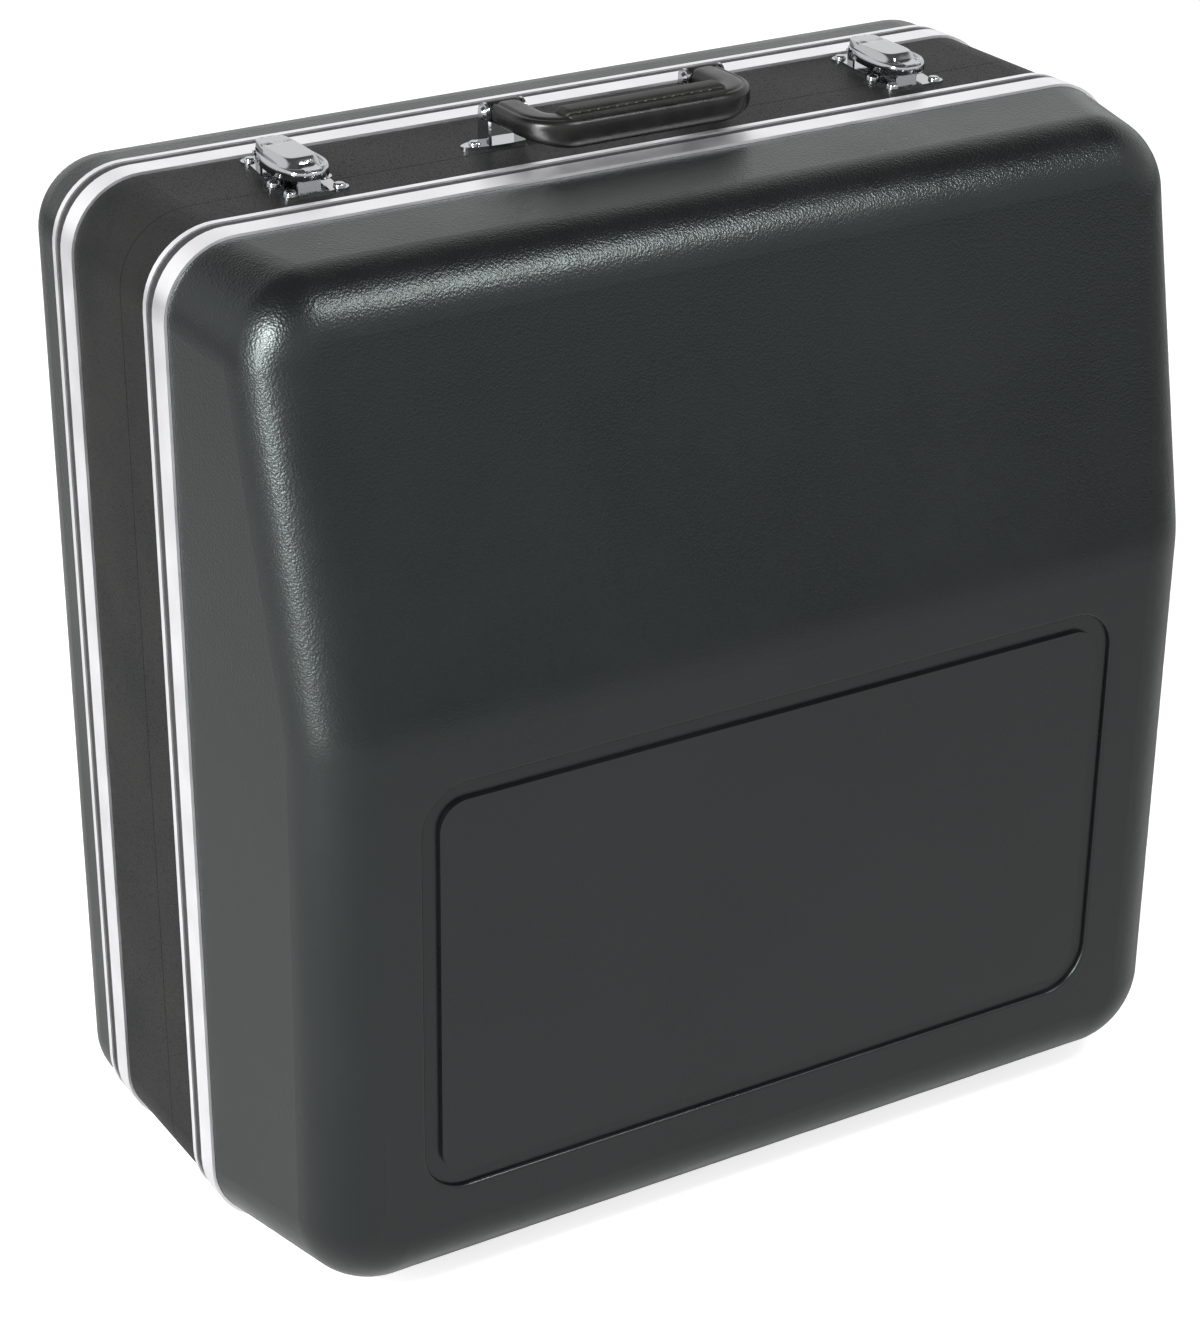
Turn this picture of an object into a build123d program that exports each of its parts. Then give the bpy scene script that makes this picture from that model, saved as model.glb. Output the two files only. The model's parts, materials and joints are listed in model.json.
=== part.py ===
from build123d import *
import os

# A hard case for a piano accordion, standing upright with its front towards -Y. Two moulded plastic
# shells are framed by aluminium trims and joined by a collar that is split all round at a seam: what
# lies in front of the seam is the lid, and what lies behind it is the body. Millimetres, +Z up. The
# origin is on the floor, under the middle of the case.

# Outline of the trims, seen from the front
case_width = 540.0
case_height = 533.0
corner_radius = 38.0
ground_clearance = 8.0

# Depths, from the front to the back
front_depth = 113.0
band_width = 13.3
groove_width = 7.0
rib_width = 3.6
front_collar_depth = 29.0
rear_collar_depth = 53.8
back_depth = 43.4

# Walls and the trim's section, as insets from the outline
shell_inset = 1.6
shell_wall = 3.0
collar_wall = 3.0
slot_clearance = 0.1
band_thickness = 1.5
flange_thickness = 1.5
flange_reach = 6.0
skirt_depth = 11.4
groove_depth = 3.2
rib_inset = 0.2
insert_inset = 1.0
insert_clearance = 0.1

# Front bulge: tapered walls, a lower face that leans back a little towards the floor, and an upper
# face that leans back towards the top, with a soft ridge between them
ridge_drop = 214.0
side_draft = 15.0
end_draft = 5.0
face_lean = 46.0
chin_lean = 9.0
ridge_radius = 80.0
front_rounding = 34.0
face_corner_radius = 48.0
back_rounding = 28.0

# Sunk channel round the bare panel of the lower front face
panel_from_side = 68.0
panel_from_bottom = 60.0
panel_from_ridge = 31.0
panel_corner_radius = 24.0
channel_width = 9.0
channel_depth = 2.5
channel_lip = 1.6

# Seam: the body's tongue reaches into the lid
seam_gap = 0.4
tongue_reach = 8.0
tongue_seat = 12.0
tongue_clearance = 0.5
tongue_thickness = 1.5

# Padded plush lining
lining_thickness = 4.0
lining_gap = 0.4

# Rivets
rivet_radius = 1.5
rivet_head_radius = 3.0
rivet_head_height = 1.7
rivet_fit = 0.05

# Latches on the top of the collar
latch_from_side = 98.0
latch_plate_thickness = 1.2
latch_plate_half_width = 14.5
latch_plate_tail_half_width = 8.0
latch_plate_length = 50.0
strike_length = 17.0
lobe_radius = 4.6
lobe_offset = 13.0
lobe_from_seam = 5.4
strike_lobe_from_seam = 12.5
tail_lobe_offset = 6.5
tail_lobe_setback = 5.5
lever_pivot_from_seam = 35.0
lever_pivot_height = 6.8
lever_wall = 1.2
lever_rim_height = 3.3
lever_lift = 4.8
lever_top_height = 14.2
lever_nose = 12.5
lever_nose_web = 3.2
lever_heel = 2.5
lever_nose_radius = 11.5
lever_half_width = 13.5
lever_tail_half_width = 10.5
tongue_half_width = 9.0
tongue_front = 4.0
latch_pin_radius = 1.2
pin_fit = 0.05
ear_thickness = 1.2
ear_radius = 2.6
ear_gap = 0.9
latch_slack = 0.3
claw_pivot_from_seam = 5.0
claw_pivot_height = 10.3
claw_width = 9.0
claw_thickness = 1.4
claw_boss_radius = 2.1
claw_clearance = 0.6
strike_lip_height = 3.0
strike_lip_from_seam = 6.4
spring_wire = 0.3
spring_radius = 1.75
spring_pitch = 0.7
spring_turns = 3

# Handle
handle_offset = 57.5
handle_pivot_from_seam = 10.5
handle_pivot_height = 15.0
handle_reach = 49.0
handle_thickness = 11.0
handle_bar = 17.0
handle_corner_radius = 24.0
arm_width = 18.0
arm_edge_radius = 3.0
grip_length = 92.0
grip_depth = 21.0
grip_height = 17.0
grip_rounding = 7.5
grip_drop = 2.2
handle_pin_radius = 2.4
handle_pin_head = 3.6
bracket_thickness = 1.6
bracket_length = 40.0
bracket_width = 14.0
bracket_ear_width = 12.0
bracket_ear_radius = 5.0
bracket_gap = 0.4
bracket_rivet_offset = 16.0

# Hinges under the collar
hinge_from_side = 120.0
hinge_length = 60.0
leaf_reach = 22.0
leaf_thickness = 1.2
leaf_corner_radius = 4.0
knuckle_radius = 2.8
knuckle_count = 5
knuckle_gap = 0.3
hinge_pin_radius = 1.2
hinge_rivet_spacing = 20.0
hinge_rivet_from_seam = 14.0

# Feet
foot_from_side = 80.0
foot_top_radius = 12.0
foot_floor_radius = 10.0
front_foot_setback = 42.0
rear_foot_from_seam = 36.0
screw_radius = 2.0
screw_head_radius = 4.2
screw_head_height = 2.0
screw_sink = 3.0
screw_tip = 0.8

# Levels worked out from the sizes above
trim_width = band_width + groove_width + rib_width
case_depth = (front_depth + 2 * trim_width + front_collar_depth + rear_collar_depth + back_depth)
face_y = -case_depth / 2
front_trim_y = face_y + front_depth
front_collar_y = front_trim_y + trim_width
seam_y = front_collar_y + front_collar_depth
rear_trim_y = seam_y + rear_collar_depth
back_shell_y = rear_trim_y + trim_width
back_y = back_shell_y + back_depth

outline_bottom = ground_clearance
outline_top = outline_bottom + case_height
outline_middle = outline_bottom + case_height / 2
ridge_z = outline_top - ridge_drop
underside = outline_bottom + shell_inset
deck = outline_top - shell_inset
panel_width = case_width - 2 * panel_from_side
panel_height = case_height - ridge_drop - panel_from_bottom - panel_from_ridge
latch_offset = case_width / 2 - latch_from_side
hinge_offset = case_width / 2 - hinge_from_side
foot_offset = case_width / 2 - foot_from_side

shell_inner = shell_inset + shell_wall
collar_inner = shell_inset + collar_wall
flange_outer = max(shell_inner, collar_inner) + slot_clearance
flange_inner = flange_outer + flange_thickness
tongue_outer = collar_inner + tongue_clearance
tongue_inner = tongue_outer + tongue_thickness
lining_outer = max(flange_inner, tongue_inner) + lining_gap
lining_inner = lining_outer + lining_thickness

os.makedirs("parts", exist_ok=True)

# How a solid sits on the place that it is given: centred, with its base there
on_base = (Align.CENTER, Align.CENTER, Align.MIN)


def finish(builder, name):
    """Labels a finished piece and writes it under its own name."""
    builder.part.label = name
    export_step(builder.part, f"parts/{name}.step")


def section(y, outer, inner=None):
    """The case's rounded outline at a depth, set in by one inset, or the band between two."""
    with BuildSketch(Plane.XZ.offset(-y)) as outline:
        with Locations((0, outline_middle)):
            RectangleRounded(case_width - 2 * outer, case_height - 2 * outer, corner_radius - outer)
            if inner is not None:
                RectangleRounded(
                    case_width - 2 * inner,
                    case_height - 2 * inner,
                    corner_radius - inner,
                    mode=Mode.SUBTRACT,
                )
    return outline.sketch


def ring(front, back, outer, inner):
    """Adds a band that follows the outline between two depths and two insets."""
    extrude(section(front, outer, inner), amount=front - back)


def trim(y):
    """Adds one bent aluminium extrusion: wide band, web, grooved floor, thin rib, inner flange."""
    ring(y, y + band_width, 0, band_thickness)
    ring(y + band_width - flange_thickness, y + band_width, band_thickness, flange_outer)
    ring(y + band_width, y + trim_width, groove_depth, flange_outer)
    ring(y + trim_width - rib_width, y + trim_width, rib_inset, groove_depth)
    ring(y, y + trim_width + flange_reach, flange_outer, flange_inner)


def insert(y):
    """Adds the soft strip that is pressed into a trim's groove."""
    ring(
        y + band_width + insert_clearance,
        y + trim_width - rib_width - insert_clearance,
        insert_inset,
        groove_depth,
    )


def front_form(inset):
    """The front bulge as a closed solid, with its skin set in from the outline by an inset."""
    shift = inset - shell_inset
    face = face_y + shift
    with BuildSketch(Plane.XZ.offset(-face)) as face_outline:
        with Locations((0, outline_middle)):
            RectangleRounded(
                case_width - 2 * (inset + side_draft),
                case_height - 2 * (inset + end_draft),
                face_corner_radius - shift,
            )
    with BuildSketch(Plane.YZ) as lean:
        with BuildLine():
            Polyline(
                (face + chin_lean, outline_bottom),
                (face, ridge_z),
                (face + face_lean, outline_top),
                (face - face_lean, outline_top),
                (face - face_lean, outline_bottom),
                close=True,
            )
        make_face()
    with BuildPart() as form:
        loft([section(front_trim_y, inset), face_outline.sketch])
        extrude(lean.sketch, amount=case_width, both=True, mode=Mode.SUBTRACT)
        ridge = form.edges().filter_by(Axis.X).sort_by(
            lambda e: abs(e.center().Z - ridge_z) + abs(e.center().Y - face)
        )[0]
        fillet(ridge, ridge_radius - shift)
        rim = form.faces().sort_by(Axis.Y)[:3].edges().filter_by(
            lambda e: abs(e.center().X) > 1 or abs(e.center().Z - ridge_z) > face_lean
        )
        fillet(rim, front_rounding - shift)
    return form.part


def back_form(inset):
    """The shallow back shell as a closed solid, with its skin set in by an inset."""
    shift = inset - shell_inset
    with BuildPart() as form:
        extrude(section(back_shell_y, inset), amount=shift - back_depth)
        fillet(form.faces().sort_by(Axis.Y)[-1].edges(), back_rounding - shift)
    return form.part


def rivets(places, shank):
    """Adds a domed rivet at each place, its head seated on the plane z = 0 of the place's frame."""
    below = (Align.CENTER, Align.CENTER, Align.MAX)
    with Locations(*places):
        heads = Cylinder(rivet_head_radius, rivet_head_height, align=on_base)
    crowns = heads.edges().filter_by(GeomType.CIRCLE).filter_by(
        lambda e: min(abs(e.center().Z - place.position.Z) for place in places) > rivet_head_height / 2
    )
    fillet(crowns, 0.8 * rivet_head_height)
    with Locations(*places):
        Cylinder(rivet_radius, shank, align=below)


def upward(points, z):
    """Places on an upward face."""
    return [Location((x, y, z)) for x, y in points]


def downward(points, z):
    """Places on a downward face, where what is placed is turned over."""
    return [Location((x, y, z), (180, 0, 0)) for x, y in points]


# Places of the rivets, which the plates and the walls under them share
sides = {"left": -1, "right": 1}
strike_points = [
    (side * latch_offset + hand * lobe_offset, seam_y - strike_lobe_from_seam)
    for side in sides.values()
    for hand in (-1, 1)
]
latch_base_front_y = seam_y + lobe_from_seam
latch_base_tail_y = seam_y + latch_plate_length - tail_lobe_setback
latch_points = [
    (side * latch_offset + hand * across, y)
    for side in sides.values()
    for across, y in ((lobe_offset, latch_base_front_y), (tail_lobe_offset, latch_base_tail_y))
    for hand in (-1, 1)
]
handle_pivot_y = seam_y + handle_pivot_from_seam
handle_pivot_z = outline_top + handle_pivot_height
bracket_points = [
    (side * handle_offset + hand * bracket_rivet_offset, handle_pivot_y)
    for side in sides.values()
    for hand in (-1, 1)
]
leaf_points = {
    part: [
        (side * hinge_offset + step * hinge_rivet_spacing, seam_y + way * hinge_rivet_from_seam)
        for side in sides.values()
        for step in (-1, 0, 1)
    ]
    for part, way in (("lid", -1), ("body", 1))
}
foot_points = {
    "lid": [(side * foot_offset, front_trim_y - front_foot_setback) for side in sides.values()],
    "body": [(side * foot_offset, seam_y + rear_foot_from_seam) for side in sides.values()],
}


def holes(places, radius, depth):
    """Cuts one round hole at each place, downwards in the place's own frame."""
    with Locations(*places):
        Cylinder(radius, 2 * depth, mode=Mode.SUBTRACT)


# Front shell: the deep moulded bulge, with a skirt inside the trim's slot and the panel's channel
with BuildPart() as front_shell:
    add(front_form(shell_inset))
    add(front_form(shell_inner), mode=Mode.SUBTRACT)
    ring(front_trim_y, front_trim_y + skirt_depth, shell_inset, shell_inner)
    lower_face = Plane(
        (0, face_y, ridge_z), x_dir=(1, 0, 0), z_dir=(0, outline_bottom - ridge_z, -chin_lean)
    )
    with BuildSketch(lower_face) as channel:
        with Locations((0, -panel_from_ridge - panel_height / 2)):
            RectangleRounded(panel_width, panel_height, panel_corner_radius)
            RectangleRounded(
                panel_width - 2 * channel_width,
                panel_height - 2 * channel_width,
                panel_corner_radius - channel_width,
                mode=Mode.SUBTRACT,
            )
    extrude(amount=-channel_depth, mode=Mode.SUBTRACT)
    flat = front_shell.faces().filter_by(lambda f: len(f.inner_wires()) > 0).sort_by(Axis.Y)[0]
    fillet(flat.inner_wires()[0].edges(), channel_lip)
    holes(downward(foot_points["lid"], underside), screw_radius + rivet_fit, 2 * shell_wall)
finish(front_shell, "front_shell")

# Back shell: the shallow moulding that butts against the rear trim's rib
with BuildPart() as back_shell:
    add(back_form(shell_inset))
    add(back_form(shell_inner), mode=Mode.SUBTRACT)
finish(back_shell, "back_shell")

# The two trims and the black strips in their grooves
for name, y in (("front", front_trim_y), ("rear", rear_trim_y)):
    with BuildPart() as profile:
        trim(y)
    finish(profile, f"{name}_trim")
    with BuildPart() as strip:
        insert(y)
    finish(strip, f"{name}_trim_insert")

# Front collar: the narrow band of the lid, between the trim's rib and the seam
with BuildPart() as front_collar:
    ring(front_collar_y, seam_y - seam_gap / 2, shell_inset, collar_inner)
    holes(upward(strike_points, deck), rivet_radius + rivet_fit, 2 * collar_wall)
    holes(downward(leaf_points["lid"], underside), rivet_radius + rivet_fit, 2 * collar_wall)
finish(front_collar, "front_collar")

# Rear collar: the wide band of the body, with its edge in the rear trim's slot
with BuildPart() as rear_collar:
    ring(seam_y + seam_gap / 2, rear_trim_y + skirt_depth, shell_inset, collar_inner)
    holes(upward(latch_points + bracket_points, deck), rivet_radius + rivet_fit, 2 * collar_wall)
    holes(downward(leaf_points["body"], underside), rivet_radius + rivet_fit, 2 * collar_wall)
    holes(downward(foot_points["body"], underside), screw_radius + rivet_fit, 2 * collar_wall)
finish(rear_collar, "rear_collar")

# Seam tongue: fixed inside the rear collar, it reaches past the seam and keys the closed lid
with BuildPart() as seam_tongue:
    ring(seam_y - tongue_reach, seam_y + tongue_seat, tongue_outer, tongue_inner)
    ring(seam_y + seam_gap, seam_y + tongue_seat, collar_inner, tongue_outer)
    holes(upward(latch_points + bracket_points, deck), rivet_radius + rivet_fit, 4 * collar_wall)
finish(seam_tongue, "seam_tongue")

# Linings: padded plush tubs inside the lid and the body
with BuildPart() as lid_lining:
    add(front_form(lining_outer))
    add(front_form(lining_inner), mode=Mode.SUBTRACT)
    ring(front_trim_y, seam_y - tongue_reach - lining_gap, lining_outer, lining_inner)
finish(lid_lining, "lid_lining")

with BuildPart() as body_lining:
    add(back_form(lining_outer))
    add(back_form(lining_inner), mode=Mode.SUBTRACT)
    ring(seam_y + tongue_seat + lining_gap, back_shell_y, lining_outer, lining_inner)
finish(body_lining, "body_lining")


def lobed_plate(length, front_half, back_half, lobes, way):
    """A flat plate that runs from the seam, one way, with a round lobe for each rivet."""
    start = seam_y + way * seam_gap
    end = seam_y + way * length
    with BuildSketch(Plane.XY.offset(deck)) as plate:
        with BuildLine():
            Polyline(
                (-front_half, start), (front_half, start), (back_half, end), (-back_half, end), close=True
            )
        make_face()
        fillet(plate.vertices().sort_by(Axis.Y, reverse=way > 0)[:2], back_half * 0.6)
        with Locations(*[(hand * across, y) for across, y in lobes for hand in (-1, 1)]):
            Circle(lobe_radius)
    return plate.sketch


# Rivets of the latches, handle brackets and hinges, each peened against the collar's inside
plate_top = deck + latch_plate_thickness
latch_grip = latch_plate_thickness + collar_wall + tongue_thickness
bracket_grip = bracket_thickness + collar_wall + tongue_thickness
leaf_grip = leaf_thickness + collar_wall + tongue_clearance / 2
rivet_rows = {
    "latch_strike_rivets": (upward(strike_points, plate_top), latch_grip),
    "latch_plate_rivets": (upward(latch_points, plate_top), latch_grip),
    "handle_bracket_rivets": (upward(bracket_points, deck + bracket_thickness), bracket_grip),
    "hinge_rivets_lid": (downward(leaf_points["lid"], underside - leaf_thickness), leaf_grip),
    "hinge_rivets_body": (downward(leaf_points["body"], underside - leaf_thickness), leaf_grip),
}
for name, (places, shank) in rivet_rows.items():
    with BuildPart() as row:
        rivets(places, shank)
    finish(row, name)

# Latches, one each side of the handle. The plate is riveted to the body and the strike to the lid.
# The lever is hinged at the plate's ears and covers the seam; inside its nose a claw on its own pin
# hooks in front of the strike's lip. The claw stops a hair above the lip.
lever_pivot_y = seam_y + lever_pivot_from_seam
lever_pivot_z = plate_top + lever_pivot_height
lever_bottom_z = plate_top + lever_lift
lever_top_z = deck + lever_top_height
claw_pivot_y = seam_y + claw_pivot_from_seam
claw_pivot_z = deck + claw_pivot_height
lever_front_y = seam_y - lever_nose
lever_back_y = lever_pivot_y + lever_heel
tongue_front_y = seam_y - tongue_front
cavity_half = tongue_half_width - lever_wall
lip_top_z = plate_top + strike_lip_height
lip_y = seam_y - strike_lip_from_seam


def rod(radius, length, y, z, x=0.0, mode=Mode.ADD):
    """A round bar along X, or a hole for one."""
    with Locations(Location((x, y, z), (0, 90, 0))):
        Cylinder(radius, length, mode=mode)


def lever_outline(inset):
    """The lever's plan: broad and round at the nose, narrower at the heel."""
    with BuildSketch(Plane.XY.offset(lever_bottom_z)) as plan:
        with BuildLine():
            Polyline(
                (-lever_half_width + inset, lever_front_y + inset),
                (lever_half_width - inset, lever_front_y + inset),
                (lever_half_width - inset, seam_y),
                (lever_tail_half_width - inset, lever_back_y),
                (-lever_tail_half_width + inset, lever_back_y),
                (-lever_half_width + inset, seam_y),
                close=True,
            )
        make_face()
        fillet(plan.vertices().sort_by(Axis.Y)[:2], lever_nose_radius - inset)
    return plan.sketch


for name, side in sides.items():
    x = side * latch_offset

    with BuildPart() as strike:
        lobes = [(lobe_offset, seam_y - strike_lobe_from_seam)]
        half = latch_plate_half_width
        extrude(lobed_plate(strike_length, half, half - 3, lobes, -1), amount=latch_plate_thickness)
        with Locations((0, lip_y, deck + (latch_plate_thickness + strike_lip_height) / 2)):
            Box(claw_width + 3, latch_plate_thickness, latch_plate_thickness + strike_lip_height)
        with Locations(*[(hand * lobe_offset, seam_y - strike_lobe_from_seam, deck) for hand in (-1, 1)]):
            Cylinder(rivet_radius + rivet_fit, 4 * latch_plate_thickness, mode=Mode.SUBTRACT)
    strike.part.locate(Location((x, 0, 0)))
    finish(strike, f"latch_strike_{name}")

    with BuildPart() as plate:
        lobes = [(lobe_offset, latch_base_front_y), (tail_lobe_offset, latch_base_tail_y)]
        extrude(
            lobed_plate(latch_plate_length, latch_plate_half_width, latch_plate_tail_half_width, lobes, 1),
            amount=latch_plate_thickness,
        )
        ear_middle = cavity_half - ear_gap - ear_thickness / 2
        for hand in (-1, 1):
            with BuildSketch(Plane.YZ.offset(hand * ear_middle)) as ear:
                with Locations((lever_pivot_y, (deck + lever_pivot_z) / 2)):
                    Rectangle(2 * ear_radius, lever_pivot_z - deck)
                with Locations((lever_pivot_y, lever_pivot_z)):
                    Circle(ear_radius)
                    Circle(latch_pin_radius + pin_fit, mode=Mode.SUBTRACT)
            extrude(amount=ear_thickness / 2, both=True)
        with Locations(*[(hand * across, y, deck) for across, y in lobes for hand in (-1, 1)]):
            Cylinder(rivet_radius + rivet_fit, 4 * latch_plate_thickness, mode=Mode.SUBTRACT)
    plate.part.locate(Location((x, 0, 0)))
    finish(plate, f"latch_plate_{name}")

    with BuildPart() as lever:
        extrude(lever_outline(0), amount=lever_rim_height)
        with BuildSketch(Plane.XY.offset(lever_bottom_z)) as tongue:
            with Locations((0, (tongue_front_y + lever_back_y) / 2)):
                Rectangle(2 * tongue_half_width, lever_back_y - tongue_front_y)
        extrude(amount=lever_top_z - lever_bottom_z)
        crown = lever.faces().sort_by(Axis.Z)[-1]
        fillet(crown.edges().sort_by(Axis.Y)[:-1], lever_wall)
        extrude(
            lever_outline(lever_wall), amount=lever_rim_height - lever_wall, mode=Mode.SUBTRACT
        )
        with BuildSketch(Plane.XY.offset(lever_bottom_z)) as hollow:
            front = lever_front_y + lever_nose_web
            with Locations((0, (front + lever_back_y) / 2)):
                Rectangle(2 * cavity_half, lever_back_y - front)
        extrude(amount=lever_top_z - lever_wall - lever_bottom_z, mode=Mode.SUBTRACT)
        for y, z in ((lever_pivot_y, lever_pivot_z), (claw_pivot_y, claw_pivot_z)):
            rod(latch_pin_radius + pin_fit, 4 * lever_half_width, y, z, mode=Mode.SUBTRACT)
    lever.part.locate(Location((x, 0, 0)))
    finish(lever, f"latch_lever_{name}")

    with BuildPart() as claw:
        tip_y = lip_y - latch_plate_thickness / 2 - latch_slack
        tip_z = lip_top_z + latch_slack
        tab_z = lever_bottom_z + lever_rim_height + claw_clearance
        with BuildSketch(Plane.YZ) as arm:
            with BuildLine():
                Polyline(
                    (claw_pivot_y, claw_pivot_z + claw_boss_radius),
                    (tongue_front_y, tab_z + claw_thickness),
                    (lever_front_y, tab_z + claw_thickness),
                    (lever_front_y, tab_z),
                    (tip_y - claw_thickness, tab_z),
                    (tip_y - claw_thickness, tip_z),
                    (tip_y, tip_z),
                    (tip_y, tab_z - claw_thickness),
                    (claw_pivot_y, claw_pivot_z - claw_boss_radius),
                    close=True,
                )
            make_face()
            with Locations((claw_pivot_y, claw_pivot_z)):
                Circle(claw_boss_radius)
        extrude(amount=claw_width / 2, both=True)
        rod(latch_pin_radius + pin_fit, 2 * claw_width, claw_pivot_y, claw_pivot_z, mode=Mode.SUBTRACT)
    claw.part.locate(Location((x, 0, 0)))
    finish(claw, f"latch_claw_{name}")

    with BuildPart() as pins:
        rod(latch_pin_radius, 2 * tongue_half_width, lever_pivot_y, lever_pivot_z)
        rod(latch_pin_radius, 2 * tongue_half_width, claw_pivot_y, claw_pivot_z)
    pins.part.locate(Location((x, 0, 0)))
    finish(pins, f"latch_pins_{name}")

    coil_length = spring_pitch * spring_turns
    coil_start = claw_width / 2 + spring_wire + latch_slack
    with BuildPart() as spring:
        with BuildLine():
            start = (coil_start, claw_pivot_y, claw_pivot_z)
            coil = Helix(spring_pitch, coil_length, spring_radius, center=start, direction=(1, 0, 0))
        with BuildSketch(Plane(coil @ 0, z_dir=coil % 0)):
            Circle(spring_wire)
        sweep(path=coil, is_frenet=True)
    spring.part.locate(Location((x, 0, 0)))
    finish(spring, f"latch_spring_{name}")

# Handle brackets: a boat-shaped plate with two stamped ears that take the pivot pin
for name, side in sides.items():
    x = side * handle_offset
    with BuildPart() as bracket:
        with BuildSketch(Plane.XY.offset(deck)) as boat:
            with Locations((x, handle_pivot_y)):
                Ellipse(bracket_length / 2 + bracket_width / 4, bracket_width / 2)
            with Locations(*[(x + hand * bracket_rivet_offset, handle_pivot_y) for hand in (-1, 1)]):
                Circle(lobe_radius)
                Circle(rivet_radius + rivet_fit, mode=Mode.SUBTRACT)
        extrude(amount=bracket_thickness)
        for hand in (-1, 1):
            ear_middle = x + hand * (arm_width / 2 + bracket_gap + bracket_thickness / 2)
            with BuildSketch(Plane.YZ.offset(ear_middle)) as ear:
                with BuildLine():
                    Polyline(
                        (handle_pivot_y - bracket_ear_width / 2, deck),
                        (handle_pivot_y + bracket_ear_width / 2, deck),
                        (handle_pivot_y + bracket_ear_radius, handle_pivot_z),
                        (handle_pivot_y - bracket_ear_radius, handle_pivot_z),
                        close=True,
                    )
                make_face()
                with Locations((handle_pivot_y, handle_pivot_z)):
                    Circle(bracket_ear_radius)
                    Circle(handle_pin_radius + pin_fit, mode=Mode.SUBTRACT)
            extrude(amount=bracket_thickness / 2, both=True)
    finish(bracket, f"handle_bracket_{name}")

# Handle pins: headed at both ends, fixed in the brackets
pin_length = arm_width + 2 * bracket_gap + 2 * bracket_thickness
with BuildPart() as handle_pins:
    for side in sides.values():
        x = side * handle_offset
        rod(handle_pin_radius, pin_length, handle_pivot_y, handle_pivot_z, x)
        for hand in (-1, 1):
            end = (x + hand * pin_length / 2, handle_pivot_y, handle_pivot_z)
            with Locations(Location(end, (0, hand * 90, 0))):
                Cone(handle_pin_head, handle_pin_radius, bracket_thickness, align=on_base)
finish(handle_pins, "handle_pins")

# Handle, at rest folded forward over the lid's trim: a moulded U with a padded grip on its bar
handle_front_y = handle_pivot_y - handle_reach
arm_end_radius = handle_thickness / 2
handle_outer = handle_offset + arm_width / 2
with BuildPart() as handle_frame:
    with BuildSketch(Plane.XY.offset(handle_pivot_z)) as bow:
        with Locations((0, (handle_front_y + handle_pivot_y) / 2)):
            Rectangle(2 * handle_outer, handle_pivot_y - handle_front_y)
        fillet(bow.vertices().sort_by(Axis.Y)[:2], handle_corner_radius)
    extrude(amount=handle_thickness / 2, both=True)
    with BuildSketch(Plane.XY.offset(handle_pivot_z)) as gap:
        with Locations((0, (handle_front_y + handle_bar + handle_pivot_y) / 2)):
            Rectangle(2 * (handle_outer - arm_width), handle_pivot_y - handle_front_y - handle_bar)
        fillet(gap.vertices().sort_by(Axis.Y)[:2], handle_corner_radius - arm_width / 2)
    extrude(amount=handle_thickness, both=True, mode=Mode.SUBTRACT)
    with Locations(*[
        Location((side * handle_offset, handle_pivot_y, handle_pivot_z), (0, 90, 0)) for side in sides.values()
    ]):
        Cylinder(arm_end_radius, arm_width)
    long_edges = handle_frame.edges().filter_by(
        lambda e: abs(abs(e.center().Z - handle_pivot_z) - handle_thickness / 2) < 0.01
        and e.center().Y < handle_pivot_y - 0.01
    )
    fillet(long_edges, arm_edge_radius)
    for side in sides.values():
        rod(
            handle_pin_radius + pin_fit,
            2 * arm_width,
            handle_pivot_y,
            handle_pivot_z,
            side * handle_offset,
            Mode.SUBTRACT,
        )
finish(handle_frame, "handle_frame")

grip_y = handle_front_y + grip_depth / 2 - arm_edge_radius / 4
with BuildPart() as handle_grip:
    with BuildSketch(Plane.YZ.offset(-grip_length / 2)) as pad:
        with Locations((grip_y, handle_pivot_z - grip_drop)):
            RectangleRounded(grip_depth, grip_height, grip_rounding)
    extrude(amount=grip_length)
    fillet(handle_grip.faces().filter_by(Axis.X).edges(), arm_edge_radius)
    add(handle_frame.part, mode=Mode.SUBTRACT)
finish(handle_grip, "handle_grip")

# Hinges: two butt hinges under the seam, their leaves riveted to the collars
hinge_pin_z = underside - knuckle_radius - slot_clearance
segment = hinge_length / knuckle_count


def hinge_leaf(way, first):
    """A leaf that reaches one way from the seam, with every second knuckle from the first."""
    with BuildPart() as leaf:
        with BuildSketch(Plane.XY.offset(underside)) as sheet:
            near = knuckle_radius + knuckle_gap
            with Locations((0, seam_y + way * (near + leaf_reach) / 2)):
                Rectangle(hinge_length, leaf_reach - near)
            fillet(sheet.vertices().sort_by(Axis.Y, reverse=way > 0)[:2], leaf_corner_radius)
        extrude(amount=-leaf_thickness)
        for index in range(first, knuckle_count, 2):
            middle = (index - (knuckle_count - 1) / 2) * segment
            length = segment - 2 * knuckle_gap
            with Locations((middle, seam_y + way * leaf_reach / 4, underside - leaf_thickness / 2)):
                Box(length, leaf_reach / 2, leaf_thickness)
            rod(knuckle_radius, length, seam_y, hinge_pin_z, middle)
            rod(hinge_pin_radius + pin_fit, 2 * segment, seam_y, hinge_pin_z, middle, Mode.SUBTRACT)
        with Locations(*[
            (step * hinge_rivet_spacing, seam_y + way * hinge_rivet_from_seam, underside) for step in (-1, 0, 1)
        ]):
            Cylinder(rivet_radius + rivet_fit, 4 * leaf_thickness, mode=Mode.SUBTRACT)
    return leaf


for name, side in sides.items():
    for part, way, first in (("body", 1, 0), ("lid", -1, 1)):
        leaf = hinge_leaf(way, first)
        leaf.part.locate(Location((side * hinge_offset, 0, 0)))
        finish(leaf, f"hinge_leaf_{part}_{name}")

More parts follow.
